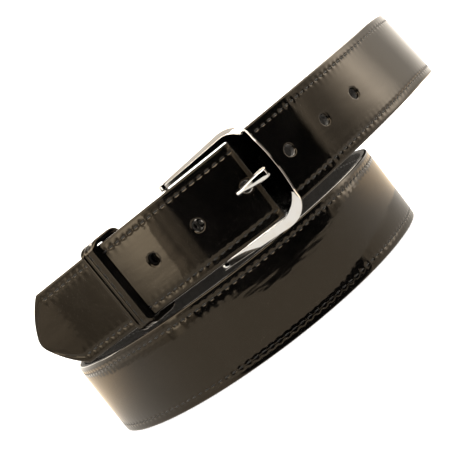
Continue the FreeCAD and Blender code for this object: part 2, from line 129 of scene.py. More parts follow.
def full_way():
    first = Spline(BILLET + OUTER_BACK)
    place, run = first.place(BEHIND_BILLET)
    inward = np.stack([-run[:, 1], run[:, 0]], 1)
    last = place + inward * (THICK + LAYER_GAP)
    return Spline(BILLET + OUTER_BACK + LOWER_FRONT + INNER_BACK + [tuple(p) for p in last])


WAY = full_way()
STRAP_END = WAY.at[-1]


def ease(s, start, end):
    u = np.clip((np.asarray(s, float) - start) / (end - start), 0, 1)
    return u * u * (3 - 2 * u)


def edge_height(s):
    s = np.asarray(s, float)
    rise = TIP_HEIGHT + BILLET_SLOPE * np.minimum(s, TURN_TOP)
    last = TIP_HEIGHT + BILLET_SLOPE * (s - STRAP_END + HINGE_AT - FOLD_LEG)
    return rise * (1 - ease(s, TURN_TOP, TABLE_START)) + last * ease(s, TABLE_END, UPPER_AGAIN)


def on_strap(flat):
    """Flat strap points (along, up from mid-width, out) to the coiled belt, in metres."""
    s, up, out = flat[:, 0], flat[:, 1], flat[:, 2]
    place, run = WAY.place(np.clip(s, 0, STRAP_END))
    place = place + run * (s - np.clip(s, 0, STRAP_END))[:, None]
    climb = np.arctan((edge_height(s + 1) - edge_height(s - 1)) / 2)
    share = np.maximum(0, 1 - ((s - LEAN_AT) / LEAN_SPAN) ** 2) ** 2
    shift = out - math.tan(math.radians(LEAN_DEGREES)) * share * up
    height = up + WIDTH / 2
    x = place[:, 0] - run[:, 0] * np.sin(climb) * height + run[:, 1] * shift
    y = place[:, 1] - run[:, 1] * np.sin(climb) * height - run[:, 0] * shift
    z = edge_height(s) + np.cos(climb) * height
    return np.stack([x, y, z], 1) * MM


def strap_frame(s, up, out):
    """A local frame on the strap: X along, Y up, Z out, in metres."""
    ends = on_strap(np.array([[s, up, out], [s + 0.5, up, out], [s, up + 1, out]], float))
    origin = Vector(ends[0])
    along = (Vector(ends[1]) - origin).normalized()
    rise = (Vector(ends[2]) - origin)
    rise = (rise - along * rise.dot(along)).normalized()
    turn = Matrix((along, rise, along.cross(rise))).transposed().to_4x4()
    return Matrix.Translation(origin) @ turn


# ---- mesh helpers --------------------------------------------------------------------
def select_nothing():
    if bpy.context.object and bpy.context.object.mode != "OBJECT":
        bpy.ops.object.mode_set(mode="OBJECT")
    bpy.ops.object.select_all(action="DESELECT")


def points_of(obj):
    flat = np.empty(len(obj.data.vertices) * 3)
    obj.data.vertices.foreach_get("co", flat)
    return flat.reshape(-1, 3)


def move_points(obj, points):
    obj.data.vertices.foreach_set("co", np.asarray(points, float).ravel())
    obj.data.update()


def add_sheet(name, columns, rows):
    """A grid whose points carry their own column and row numbers as x and y."""
    select_nothing()
    bpy.ops.mesh.primitive_grid_add(x_subdivisions=columns - 1, y_subdivisions=rows - 1, size=2)
    obj = bpy.context.object
    obj.name = name
    grid = points_of(obj)
    grid[:, 0] = np.round((grid[:, 0] + 1) / 2 * (columns - 1))
    grid[:, 1] = np.round((grid[:, 1] + 1) / 2 * (rows - 1))
    return obj, grid[:, 0].astype(int), grid[:, 1].astype(int)


def close_up(obj, distance):
    """Welds the seam, caps open ends and turns every face outwards."""
    select_nothing()
    obj.select_set(True)
    bpy.context.view_layer.objects.active = obj
    bpy.ops.object.mode_set(mode="EDIT")
    bpy.ops.mesh.select_all(action="SELECT")
    bpy.ops.mesh.remove_doubles(threshold=distance)
    bpy.ops.mesh.select_all(action="DESELECT")
    bpy.ops.mesh.select_mode(type="EDGE")
    bpy.ops.mesh.select_non_manifold(extend=False, use_wire=False, use_multi_face=False,
                                     use_non_contiguous=False, use_verts=False)
    bpy.ops.mesh.edge_face_add()
    bpy.ops.mesh.select_all(action="SELECT")
    bpy.ops.mesh.normals_make_consistent(inside=False)
    bpy.ops.mesh.select_all(action="DESELECT")
    bpy.ops.object.mode_set(mode="OBJECT")


def smooth(obj, degrees):
    select_nothing()
    obj.select_set(True)
    bpy.context.view_layer.objects.active = obj
    bpy.ops.object.shade_smooth_by_angle(angle=math.radians(degrees))


def apply(obj, kind, **settings):
    select_nothing()
    obj.select_set(True)
    bpy.context.view_layer.objects.active = obj
    modifier = obj.modifiers.new(kind.lower(), kind)
    for key, value in settings.items():
        setattr(modifier, key, value)
    bpy.ops.object.modifier_apply(modifier=modifier.name)


def cut_away(obj, cutter):
    apply(obj, "BOOLEAN", operation="DIFFERENCE", solver="EXACT", object=cutter)


def discard(obj):
    bpy.data.objects.remove(obj, do_unlink=True)


def keep_flat_map(obj, along, across):
    """A UV map in metres: along the strap and across it, for stitching and grain."""
    layer = obj.data.uv_layers.new(name="flat")
    corners = np.empty(len(obj.data.loops), dtype=np.int32)
    obj.data.loops.foreach_get("vertex_index", corners)
    uv = np.stack([along[corners], across[corners]], 1) * MM
    layer.data.foreach_set("uv", uv.astype(np.float32).ravel())


# ---- the tip, flat -------------------------------------------------------------------
def tip_half_width(s, inset=0.0):
    """Half the strap's width at s from the tip's end, kept inset from its edge."""
    half = WIDTH / 2
    chord = math.hypot(TIP_LENGTH, half)
    sink = math.sqrt(TIP_SIDE_RADIUS ** 2 - (chord / 2) ** 2)
    centre_x = TIP_LENGTH / 2 + half / chord * sink
    centre_y = half / 2 - TIP_LENGTH / chord * sink
    radius = TIP_SIDE_RADIUS - inset
    s = np.asarray(s, float)
    inside = np.maximum(radius ** 2 - np.maximum(centre_x - s, 0) ** 2, 0)
    side = centre_y + np.sqrt(inside)
    past = np.maximum(s - TIP_START, 0)
    nose = np.where(past < NOSE_LENGTH, np.sqrt(np.maximum(2 * NOSE_RADIUS * past - past ** 2, 0)),
                    half)
    return np.clip(side if inset else np.minimum(side, nose), 0, half - inset)


# ---- strap layers --------------------------------------------------------------------
def across_stations():
    """Heights across the strap, closer together at the edges and stitch lines."""
    half = WIDTH / 2
    line = half - STITCH_INSET
    rim = [half, half - 0.12, half - 0.4, half - 0.9, half - 1.8]
    seam = [line + 0.9, line + 0.45, line, line - 0.45, line - 0.9, line - 1.8]
    upper = rim + seam + [10.4, 7.4, 5.4, 4.4, 3.8, 3.2, 2.6, 2.0, 1.4, 0.7]
    return np.array([-u for u in upper] + [0.0] + upper[::-1])


def face_section():
    """Closed outline of the patent face: rounded edges, a sunk stitch line, a soft crown."""
    half = WIDTH / 2
    up = across_stations()
    from_edge = half - np.abs(up)
    edge = np.minimum(from_edge / 0.9, 1)
    roll = 0.75 * (1 - np.sqrt(1 - (1 - edge) ** 2))
    seam = 0.22 * np.exp(-((from_edge - STITCH_INSET) / 0.55) ** 2)
    margin = 0.14 * np.exp(-((from_edge - 1.6) / 1.6) ** 2)
    crown = 0.05 * (1 - (up / half) ** 2)
    out = THICK / 2 - roll - seam - margin + crown
    back = [(half, FACE_BACK), (10, FACE_BACK), (0, FACE_BACK), (-10, FACE_BACK),
            (-half, FACE_BACK)]
    return [(u, o, 1.0) for u, o in zip(up, out)] + [(u, o, 0.0) for u, o in back]


def filler_section():
    half = WIDTH / 2 - 0.08
    up = [-half, -10, 0, 10, half]
    front = [(u, FACE_BACK, 0.0) for u in up]
    return front + [(u, LINING_FRONT, 0.0) for u in up[::-1]]


def lining_section():
    half = WIDTH / 2
    up = [half, half - 0.1, half - 0.35, half - 0.8, 15.5, 14.9, 10, 3.5]
    up = np.array([u for u in up] + [-u for u in up[::-1]])
    from_edge = half - np.abs(up)
    roll = 0.6 * (1 - np.sqrt(1 - (1 - np.minimum(from_edge / 0.8, 1)) ** 2))
    back = [(u, -THICK / 2 + r, 0.0) for u, r in zip(up, roll)]
    return [(-half, LINING_FRONT, 0.0), (0, LINING_FRONT, 0.0), (half, LINING_FRONT, 0.0)] + back


def strap_layer(name, section, step):
    """One layer of the strap, made flat: its section drawn out along its length."""
    near_tip = TIP_START + np.array([0.005, 0.06, 0.16, 0.32, 0.56, 0.9, 1.3])
    to_corner = np.arange(2.4, TIP_LENGTH - 0.3, 0.75)
    corner = [TIP_LENGTH - 0.25, TIP_LENGTH, TIP_LENGTH + 0.3]
    rest = np.linspace(16.0, STRAP_END, round((STRAP_END - 16.0) / step) + 1)
    along = np.concatenate([near_tip, to_corner, corner, rest])
    obj, column, row = add_sheet(name, len(along), len(section) + 1)
    section = np.array(section + section[:1])
    s = along[column]
    up, out = section[row, 0], section[row, 1]
    taper = tip_half_width(s) / (WIDTH / 2)
    top = section[row, 2] > 0
    thin = ease(s, TIP_START - 0.6, TIP_START + 1.2)
    out = np.where(top, FACE_BACK + (out - FACE_BACK) * (0.45 + 0.55 * thin), out)
    from_line = np.abs(up) - (WIDTH / 2 - STITCH_INSET)
    beat = np.cos(2 * math.pi * (s - TIP_LENGTH - 1.0) / STITCH_PITCH)
    pucker = np.exp(-(from_line / 0.75) ** 2) * 0.16 * (beat - 0.35) * (s > TIP_LENGTH)
    out = out + np.where(top & (from_line > -3), pucker, 0)
    move_points(obj, np.stack([s, up * taper, out], 1))
    keep_flat_map(obj, s, up * taper)
    close_up(obj, 0.002)
    return obj


def hole_cutter(radius, flare):
    """Six punched holes; the mouth is a little wider where the edge rolls in."""
    cutters = []
    for s in HOLES:
        select_nothing()
        bpy.ops.mesh.primitive_cylinder_add(vertices=32, radius=radius, depth=1,
                                            location=(s, 0, 0))
        obj = bpy.context.object
        points = points_of(obj)
        top = points[:, 2] > 0
        points[:, 2] = np.where(top, THICK / 2 - 0.55, -THICK)
        move_points(obj, points)
        bpy.ops.object.mode_set(mode="EDIT")
        bpy.ops.mesh.select_mode(type="FACE")
        bpy.ops.mesh.select_all(action="DESELECT")
        bpy.ops.object.mode_set(mode="OBJECT")
        for face in obj.data.polygons:
            face.select = face.normal.z > 0.9
        bpy.ops.object.mode_set(mode="EDIT")
        for rise, grow in ((0.3, 1 + 0.06 * flare), (0.2, 1 + 0.09 * flare),
                           (0.12, 1 + 0.12 * flare), (0.2, 1 + 0.1 * flare), (1.5, 1.0)):
            bpy.ops.mesh.extrude_region_move(TRANSFORM_OT_translate={"value": (0, 0, rise)})
            bpy.ops.transform.resize(value=(grow, grow, 1),
                                     center_override=(s, 0, 0))
        bpy.ops.object.mode_set(mode="OBJECT")
        bpy.ops.object.transform_apply(location=True, rotation=True, scale=True)
        cutters.append(obj)
    select_nothing()
    for obj in cutters:
        obj.select_set(True)
    bpy.context.view_layer.objects.active = cutters[0]
    bpy.ops.object.join()
    return bpy.context.object


def wrap(obj):
    move_points(obj, on_strap(points_of(obj)))


# ---- stitches ------------------------------------------------------------------------
def one_stitch(name, length, width, height):
    """A short tight loop of thread: round, plump in the middle, pulled down at its ends."""
    select_nothing()
    bpy.ops.mesh.primitive_uv_sphere_add(segments=8, ring_count=7, radius=0.5)
    obj = bpy.context.object
    obj.name = name
    points = points_of(obj)[:, [2, 1, 0]]
    points[:, 0] = np.sign(points[:, 0]) * np.abs(points[:, 0] * 2) ** 0.75 / 2
    points = points * (length, width, height)
    points[:, 1] += points[:, 0] * 0.06
    move_points(obj, points)
    select_nothing()
    obj.select_set(True)
    bpy.context.view_layer.objects.active = obj
    bpy.ops.object.mode_set(mode="EDIT")
    bpy.ops.mesh.select_all(action="SELECT")
    bpy.ops.mesh.normals_make_consistent(inside=False)
    bpy.ops.object.mode_set(mode="OBJECT")
    return obj


def stitch_places():
    """Where each stitch of both rows and of the tip lies: along, up, turn in radians."""
    line = WIDTH / 2 - STITCH_INSET
    first = TIP_LENGTH + 1.0
    count = int((STRAP_END - 4 - first) / STITCH_PITCH)
    places = []
    for i in range(count):
        s = first + STITCH_PITCH * (i + 0.5)
        places += [(s, line, 0.0), (s, -line, 0.0)]
    steps = np.linspace(STITCH_INSET * 1.1, first, 200)
    edge = tip_half_width(steps, STITCH_INSET)
    run = np.concatenate([[0], np.cumsum(np.hypot(np.diff(steps), np.diff(edge)))])
    tip_count = round(run[-1] / TIP_STITCH_PITCH)
    for i in range(tip_count):
        at = run[-1] * (i + 0.5) / tip_count
        s = np.interp(at, run, steps)
        up = np.interp(at, run, edge)
        ahead = np.interp(at + 0.5, run, edge) - np.interp(at - 0.5, run, edge)
        along = np.interp(at + 0.5, run, steps) - np.interp(at - 0.5, run, steps)
        angle = math.atan2(ahead, along)
        places += [(s, up, angle), (s, -up, -angle)]
    return places


def stitch_rows(name, depth, height):
    """Both rows of stitches: one stitch copied to each place, then laid on the belt."""
    stitch = one_stitch(name, STITCH_LENGTH, STITCH_WIDTH, height)
    places = stitch_places()
    apply(stitch, "ARRAY", count=len(places), use_relative_offset=False,
          use_constant_offset=True, constant_offset_displace=(1000, 0, 0))
    points = points_of(stitch)
    which = np.round(points[:, 0] / 1000).astype(int)
    local = points - np.stack([which * 1000.0, 0 * which, 0 * which], 1)
    table = np.array(places)[which]
    cos, sin = np.cos(table[:, 2]), np.sin(table[:, 2])
    flat = np.stack([table[:, 0] + cos * local[:, 0] - sin * local[:, 1],
                     table[:, 1] + sin * local[:, 0] + cos * local[:, 1],
                     depth + local[:, 2]], 1)
    move_points(stitch, flat)
    keep_flat_map(stitch, flat[:, 0], flat[:, 1])
    wrap(stitch)
    smooth(stitch, 60)
    return stitch


# ---- buckle: x from the hinge axis, y up, z out --------------------------------------
def buckle_frame_matrix():
    joint = next(j for j in frame["joints"] if j["name"] == "frame_swing")
    up = -Vector(joint["axis"]).normalized()
    across = Vector((math.cos(FRAME_HEADING), math.sin(FRAME_HEADING), 0))
    across = (across - up * across.dot(up)).normalized()
    turn = Matrix((across, up, across.cross(up))).transposed().to_4x4()
    return Matrix.Translation(Vector(joint["pos_m"])) @ turn


BUCKLE = buckle_frame_matrix()


def place_flat(obj, matrix):
    """Millimetres in a local frame to metres in the belt's frame."""
    points = points_of(obj) * MM
    turn = np.array(matrix.to_3x3())
    move_points(obj, points @ turn.T + np.array(matrix.translation))


FACE_DISH = 0.03


def frame_lines():
    """Outer and inner edge of the frame at stations from the lower ear to the upper."""
    ear_y, bar_y, corner_x, side_x, side_y, nose_x = 22.3, 24.1, 32.5, 43.4, 14.0, 44.5
    outer = [(x, np.interp(x, [0, corner_x], [ear_y, bar_y])) for x in np.linspace(0, corner_x, 30)]
    for t in np.linspace(0, math.pi / 2, 18)[1:]:
        power = 0.86
        x = corner_x + (side_x - corner_x) * math.sin(t) ** power
        y = side_y + (bar_y - side_y) * math.cos(t) ** power
        outer.append((x, y))
    for y in np.linspace(side_y, 0, 14)[1:]:
        outer.append((side_x + (nose_x - side_x) * (1 - (y / side_y) ** 2), y))
    upper = np.array(outer)
    lower = upper[::-1][1:] * (1, -1)
    outer = np.concatenate([upper, lower])[::-1]
    window_x, window_y, round_in = 34.0, 19.65, 0.9
    inner = []
    for i, (x, y) in enumerate(upper):
        if i < 30:
            u = x * (window_x - round_in) / corner_x
            inner.append((u, window_y))
        elif i < 47:
            t = (i - 29) / 17 * math.pi / 2
            inner.append((window_x - round_in + round_in * math.sin(t),
                          window_y - round_in + round_in * math.cos(t)))
        else:
            inner.append((window_x, (window_y - round_in) * (1 - (i - 46) / 13)))
    inner = np.array(inner)
    inner = np.concatenate([inner, inner[::-1][1:] * (1, -1)])[::-1]
    return outer, inner


def make_frame():
    """The cast frame: a ring open at the hinge, its face flat and its outer side sloped."""
    outer, inner = frame_lines()
    half = 1.7
    y = outer[:, 1]
    slope_share = np.interp(y, [-22, -18.5, -13, 13, 20, 23], [0.93, 0.8, 0.13, 0.13, 0.4, 0.44])
    slope_drop = np.interp(y, [-22, -18.5, -13, 13, 20, 23], [0.75, 0.7, 0.45, 0.45, 0.9, 1.0])
    level = 0 * y
    profile = [(level, level - half + 0.25), (level, half - slope_drop - 0.3),
               (level + 0.012, half - slope_drop - 0.1), (level + 0.04, half - slope_drop)]
    for along in (0.35, 0.7, 0.95):
        profile.append((0.04 + (slope_share - 0.04) * along, half - slope_drop * (1 - along)))
    profile.append((slope_share + 0.01, level + half - 0.01))
    for along in (0.06, 0.35, 0.7, 0.95):
        flat = slope_share + (0.965 - slope_share) * along
        profile.append((flat, level + half - FACE_DISH * math.sin(math.pi * along)))
    for share, z in ((0.975, half - 0.02), (0.99, half - 0.12), (1.0, half - 0.3),
                     (1.0, -half + 0.25), (0.96, -half), (0.5, -half), (0.03, -half)):
        profile.append((level + share, level + z))
    obj, column, row = add_sheet("buckle_frame_plated", len(outer), len(profile) + 1)
    profile.append(profile[0])
    share = np.array([p[0] for p in profile])[row, column]
    level = np.array([p[1] for p in profile])[row, column]
    flat = outer[column] * (1 - share)[:, None] + inner[column] * share[:, None]
    round_in = 1 - 0.12 * np.exp(-flat[:, 0] / 1.2)
    move_points(obj, np.stack([flat[:, 0] - 0.4, flat[:, 1], level * round_in], 1))
    close_up(obj, 0.002)
    ears = []
    for side in (-1, 1):
        select_nothing()
        bpy.ops.mesh.primitive_cylinder_add(
            vertices=32, radius=2.1, depth=2.65, location=(0, side * 20.97, 0),
            rotation=(math.pi / 2, 0, 0))
        ear = bpy.context.object
        bpy.ops.object.transform_apply(location=True, rotation=True, scale=True)
        apply(ear, "BEVEL", width=0.35, segments=3, limit_method="ANGLE")
        ears.append(ear)
    select_nothing()
    for part in ears + [obj]:
        part.select_set(True)
    bpy.context.view_layer.objects.active = obj
    bpy.ops.object.join()
    place_flat(obj, BUCKLE)
    smooth(obj, 28)
    return obj


def prong_middle():
    rest = FRAME_THICK / 2 + PRONG_REST_GAP
    rise = rest + PRONG_THICK / 2
    knots = [(0, -0.1), (8, 0.1), (16, 0.5), (22, 1.3), (28, rise - 0.3), (33, rise + 0.25),
             (38.25, rise)]
    return Spline(knots)


def make_prong(grow, name):
    """The prong's shank, round-topped and tapering to its root, with its curl on the pin."""
    line = prong_middle()
    end = line.at[-1]
    stations = np.concatenate([np.linspace(0, end, 40), end + 1.25 * np.sin(
        np.linspace(0, math.pi / 2, 8)[1:])])
    obj, column, row = add_sheet(name, len(stations), 29)
    s = stations[column]
    place, run = line.place(np.minimum(s, end))
    over = np.maximum(s - end, 0)
    shrink = np.sqrt(np.maximum(1 - (over / 1.26) ** 2, 0.0004))
    angle = row / 28 * 2 * math.pi
    width = np.interp(s, [0, 14, 22, 27, 31, 36, 40], [2.3, 1.9, 1.1, 0.9, 1.6, 2.2, 2.3]) + grow
    height = PRONG_THICK / 2 + grow
    cos, sin = np.cos(angle), np.sin(angle)
    across = width * np.sign(cos) * np.abs(cos) ** 0.6 * (0.35 + 0.65 * shrink)
    out = height * np.sign(sin) * np.abs(sin) ** 0.85 * shrink
    x = place[:, 0] + run[:, 0] * over - run[:, 1] * out
    z = place[:, 1] + run[:, 1] * over + run[:, 0] * out
    move_points(obj, np.stack([x, across, z], 1))
    close_up(obj, 0.002)
    if grow:
        place_flat(obj, BUCKLE)
        return obj
    select_nothing()
    bpy.ops.mesh.primitive_cylinder_add(vertices=40, radius=BARREL_RADIUS, depth=PRONG_WIDTH,
                                        rotation=(math.pi / 2, 0, 0))
    curl = bpy.context.object
    bpy.ops.object.transform_apply(location=True, rotation=True, scale=True)
    apply(curl, "BEVEL", width=0.3, segments=2, limit_method="ANGLE")
    apply(obj, "BOOLEAN", operation="UNION", solver="EXACT", object=curl)
    discard(curl)
    select_nothing()
    bpy.ops.mesh.primitive_cylinder_add(vertices=32, radius=PIN_BORE, depth=12,
                                        rotation=(math.pi / 2, 0, 0))
    bore = bpy.context.object
    bpy.ops.object.transform_apply(location=True, rotation=True, scale=True)
    cut_away(obj, bore)
    discard(bore)
    place_flat(obj, BUCKLE)
    smooth(obj, 32)
    return obj


# ---- keeper --------------------------------------------------------------------------
KEEPER_WIDTH = 8.2
KEEPER_THICK = 2.4
KEEPER_SKEW = 5.5
KEEPER_SIDE_PLAY = 0.55
KEEPER_CORNER = 4.0
KEEPER_FRONT = THICK / 2 + 0.3 + 0.4
KEEPER_BACK = -THICK * 1.5 - LAYER_GAP - 0.3 - 0.4


def keeper_loop(grow, radius, count):
    """Points round the keeper in its (up, out) section, with their outward directions."""
    half_y = WIDTH / 2 + KEEPER_SIDE_PLAY + grow
    low, high = KEEPER_BACK - grow, KEEPER_FRONT + grow
    corners = [(half_y - radius, high - radius, 0), (-half_y + radius, high - radius, 90),
               (-half_y + radius, low + radius, 180), (half_y - radius, low + radius, 270)]
    points = []
    for cy, cz, start in corners:
        for degrees in np.linspace(start, start + 90, 10):
            a = math.radians(degrees)
            points.append((cy + radius * math.cos(a), cz + radius * math.sin(a)))
    points = np.array(points + points[:1])
    run = np.concatenate([[0], np.cumsum(np.hypot(*np.diff(points, axis=0).T))])
    at = np.linspace(0, run[-1], count)
    return np.stack([np.interp(at, run, points[:, 0]), np.interp(at, run, points[:, 1])], 1)


def keeper_place(obj):
    points = points_of(obj)
    points[:, 0] -= points[:, 2] * KEEPER_SKEW / (KEEPER_FRONT - KEEPER_BACK)
    move_points(obj, points)
    place_flat(obj, strap_frame(KEEPER_AT, 0, 0))


def make_keeper():
    """A folded leather loop: turned edges, a sunk stitched line down its middle."""
    half = KEEPER_WIDTH / 2
    crest = [(-half, 0.25), (-half + 0.1, 0.66), (-half + 0.35, 0.93), (-half + 0.7, 1.0),
             (-half + 1.9, 0.99), (-half + 2.2, 0.94), (-half + 2.4, 0.8), (-half + 2.6, 0.93),
             (-half + 2.9, 0.965), (-0.3, 0.97), (0.1, 0.95), (0.5, 0.9), (0.9, 0.95),
             (1.3, 0.97), (half - 1.0, 0.975), (half - 0.75, 1.0), (half - 0.35, 0.93),
             (half - 0.1, 0.66), (half, 0.25)]
    section = crest + [(half, 0.0), (0, 0.0), (-half, 0.0)]
    count = 141
    obj, column, row = add_sheet("keeper_leather", count, len(section) + 1)
    section = np.array(section + section[:1])
    inner = keeper_loop(0, 0.5, count)
    outer = keeper_loop(KEEPER_THICK, KEEPER_CORNER, count)
    share = section[row, 1][:, None]
    place = inner[column] * (1 - share) + outer[column] * share
    move_points(obj, np.stack([section[row, 0], place[:, 0], place[:, 1]], 1))
    lengths = column * (2 * WIDTH / count)
    keep_flat_map(obj, lengths, section[row, 0])
    close_up(obj, 0.002)
    keeper_place(obj)
    smooth(obj, 40)
    return obj


def make_keeper_stitches():
    stitch = one_stitch("keeper_stitches", 3.4, 0.62, 0.5)
    count = 22
    apply(stitch, "ARRAY", count=count, use_relative_offset=False, use_constant_offset=True,
          constant_offset_displace=(1000, 0, 0))
    points = points_of(stitch)
    which = np.round(points[:, 0] / 1000).astype(int)
    local = points - np.stack([which * 1000.0, 0 * which, 0 * which], 1)
    loop = keeper_loop(KEEPER_THICK * 0.89, 3.8, count * 40 + 1)
    centre = np.round((which + 0.5) * 40 + local[:, 0] / 5.0 * 40).astype(int) % (count * 40)
    place = loop[centre]
    ahead = loop[(centre + 1) % (count * 40)] - loop[centre - 1]
    ahead /= np.linalg.norm(ahead, axis=1)[:, None]
    out = np.stack([ahead[:, 1], -ahead[:, 0]], 1) * -1
    out *= np.sign((out * (place - loop.mean(0))).sum(1))[:, None]
    place = place + out * local[:, 2][:, None]
    move_points(stitch, np.stack([local[:, 1] + 0.5, place[:, 0], place[:, 1]], 1))
    keeper_place(stitch)
    smooth(stitch, 60)
    return stitch


# ---- fold tab ------------------------------------------------------------------------
TAB_LENGTH = 26.0
FOLD_THICK = 2.0


def fold_matrix():
    middle = STRAP_END - TAB_LENGTH / 3
    turn = strap_frame(middle, -WIDTH / 2, 0).to_3x3().to_4x4()
    return Matrix.Translation(BUCKLE.translation) @ turn


def make_fold():
    """The skived end: forward leg, bend round the pin, and the tab behind the lining."""
    matrix = fold_matrix()
    middle = STRAP_END - TAB_LENGTH / 3
    back = Vector(on_strap(np.array([[middle, 0.0, -THICK / 2]]))[0])
    level = (matrix.inverted() @ back).z / MM
    mid = PIN_BORE + FOLD_THICK / 2
    line = [(-10.6, mid), (-9, mid), (-6, mid), (-3, mid)]
    line += [(mid * math.sin(a), mid * math.cos(a)) for a in np.linspace(0, math.pi, 15)]
    low = level - FOLD_THICK / 2
    line += [(-2.5, -mid), (-4.5, -mid + 0.06), (-7.5, (low - mid) / 2), (-10.5, low - 0.06),
             (-13, low), (-18, low), (-23, low), (-TAB_LENGTH, low)]
    line = np.array(line)
    run = np.gradient(line, axis=0)
    run /= np.linalg.norm(run, axis=1)[:, None]
    side = np.stack([run[:, 1], -run[:, 0]], 1) * -1
    half = WIDTH / 2 - 0.1
    up = [-half, -half + 0.3, -half + 0.9, -12, -6, 0, 6, 12, half - 0.9, half - 0.3, half]
    swell = [0.55, 0.85, 1.0, 1.0, 1.0, 1.0, 1.0, 1.0, 1.0, 0.85, 0.55]
    section = [(u, FOLD_THICK / 2 * k) for u, k in zip(up, swell)]
    section += [(u, -FOLD_THICK / 2 * k) for u, k in zip(up[::-1], swell)]
    obj, column, row = add_sheet("fold_leather", len(line), len(section) + 1)
    section = np.array(section + section[:1])
    place = line[column] + side[column] * section[row, 1][:, None]
    move_points(obj, np.stack([place[:, 0], section[row, 0], place[:, 1]], 1))
    length = np.concatenate([[0], np.cumsum(np.hypot(*np.diff(line, axis=0).T))])
    keep_flat_map(obj, length[column], section[row, 0])
    close_up(obj, 0.002)
    select_nothing()
    bpy.ops.mesh.primitive_cube_add(size=1, location=(-1.9, 0, 0))
    slot = bpy.context.object
    slot.scale = (11.2, 6.4, 14)
    bpy.ops.object.transform_apply(location=True, rotation=True, scale=True)
    apply(slot, "BEVEL", width=1.2, segments=4, limit_method="ANGLE")
    cut_away(obj, slot)
    discard(slot)
    place_flat(obj, matrix)
    smooth(obj, 40)
    return obj


# ---- shader notation -----------------------------------------------------------------
class Sock:
    """An output socket that turns arithmetic into Math nodes."""

    def __init__(self, tree, link):
        self.tree = tree
        self.link = link

    def _math(self, operation, *values):
        return self.tree.node("ShaderNodeMath", {"operation": operation}, *values)

    def __add__(self, other):
        return self._math("ADD", self, other)

    def __sub__(self, other):
        return self._math("SUBTRACT", self, other)

    def __rsub__(self, other):
        return self._math("SUBTRACT", other, self)

    def __mul__(self, other):
        return self._math("MULTIPLY", self, other)

    def __truediv__(self, other):
        return self._math("DIVIDE", self, other)

    def __pow__(self, other):
        return self._math("POWER", self, other)

    __radd__ = __add__
    __rmul__ = __mul__


class Nodes:
    """A node tree, and short ways to add to it."""

    def __init__(self, tree):
        self.nodes = tree.nodes
        self.links = tree.links

    def node(self, kind, settings, *values, out=0, **named):
        """Adds a node: its settings first, then its sockets by order or by name."""
        made = self.nodes.new(kind)
        for key, value in settings.items():
            if key == "stops":
                ramp = made.color_ramp
                while len(ramp.elements) < len(value):
                    ramp.elements.new(0.5)
                for element, (at, colour) in zip(ramp.elements, value):
                    element.position = at
                    element.color = (*colour, 1)
            else:
                setattr(made, key, value)
        for i, value in enumerate(values):
            self._feed(made.inputs[i], value)
        for key, value in named.items():
            self._feed(made.inputs[key.replace("_", " ")], value)
        return Sock(self, made.outputs[out])

    def _feed(self, socket, value):
        if isinstance(value, Sock):
            self.links.new(value.link, socket)
        else:
            socket.default_value = value

    def place(self, flat=False):
        """Object coordinates, or the flat map along and across the strap."""
        if flat:
            return self.node("ShaderNodeUVMap", {"uv_map": "flat"})
        return self.node("ShaderNodeTexCoord", {}, out=3)

    def noise(self, place, scale, detail=2.0, rough=0.5):
        return self.node("ShaderNodeTexNoise", {}, Vector=place, Scale=scale, Detail=detail,
                         Roughness=rough)

    def stretch(self, place, scale):
        return self.node("ShaderNodeMapping", {}, Vector=place, Scale=scale)

    def band(self, value, low, high, first=0.0, last=1.0):
        return self.node("ShaderNodeMapRange", {"interpolation_type": "SMOOTHSTEP"}, value,
                         low, high, first, last)

    def blend(self, share, first, second):
        made = self.nodes.new("ShaderNodeMix")
        made.data_type = "RGBA"
        self._feed(made.inputs[0], share)
        self._feed(made.inputs[6], first)
        self._feed(made.inputs[7], second)
        return Sock(self, made.outputs[2])

    def bump(self, height, distance, strength=1.0, under=None):
        named = {"Height": height, "Distance": distance, "Strength": strength}
        if under:
            named["Normal"] = under
        return self.node("ShaderNodeBump", {}, **named)

    def split(self, vector):
        """The three parts of a vector."""
        made = self.nodes.new("ShaderNodeSeparateXYZ")
        self.links.new(vector.link, made.inputs[0])
        return [Sock(self, out) for out in made.outputs]


class Finish(Nodes):
    """One material: a Principled shader and the nodes that feed it."""

    def __init__(self, name):
        self.material = bpy.data.materials.new(name)
        self.material.use_nodes = True
        super().__init__(self.material.node_tree)
        self.shader = self.nodes["Principled BSDF"]

    def set(self, **sockets):
        for key, value in sockets.items():
            self._feed(self.shader.inputs[key.replace("_", " ")], value)
        return self.material

    def glow(self, colour):
        """Gives light of this colour, and nothing else."""
        lamp = self.nodes.new("ShaderNodeEmission")
        self.links.new(colour.link, lamp.inputs[0])
        self.links.new(lamp.outputs[0], self.nodes["Material Output"].inputs[0])

    def dress(self, obj):
        obj.data.materials.clear()
        obj.data.materials.append(self.material)


def patent_finish():
    """Black patent leather: a glossy film, slightly wavy along the strap."""
    f = Finish("patent_black")
    place = f.place()
    run = f.place(flat=True)
    drape = f.noise(f.stretch(run, (22.0, 95.0, 60.0)), 1.0, 3.0, 0.5)
    ripple = f.noise(f.stretch(run, (130.0, 420.0, 300.0)), 1.0, 2.0, 0.5)
    dust = f.noise(place, 2100.0, 2.0, 0.6)
    cloud = f.noise(place, 45.0, 3.0, 0.5)
    tone = f.blend(f.band(cloud, 0.35, 0.7), (0.0010, 0.0009, 0.0008, 1),
                   (0.0024, 0.0021, 0.0019, 1))
    rough = 0.045 + 0.035 * f.band(cloud, 0.4, 0.8) + 0.08 * f.band(dust, 0.68, 0.76)
    relief = f.bump(drape, 0.00016)
    relief = f.bump(ripple, 0.000012, under=relief)
    f.set(Base_Color=tone, Roughness=rough, Normal=relief)
    f.shader.inputs["IOR"].default_value = 1.5
    f.shader.inputs["Specular Tint"].default_value = (1.0, 0.82, 0.6, 1)
    return f


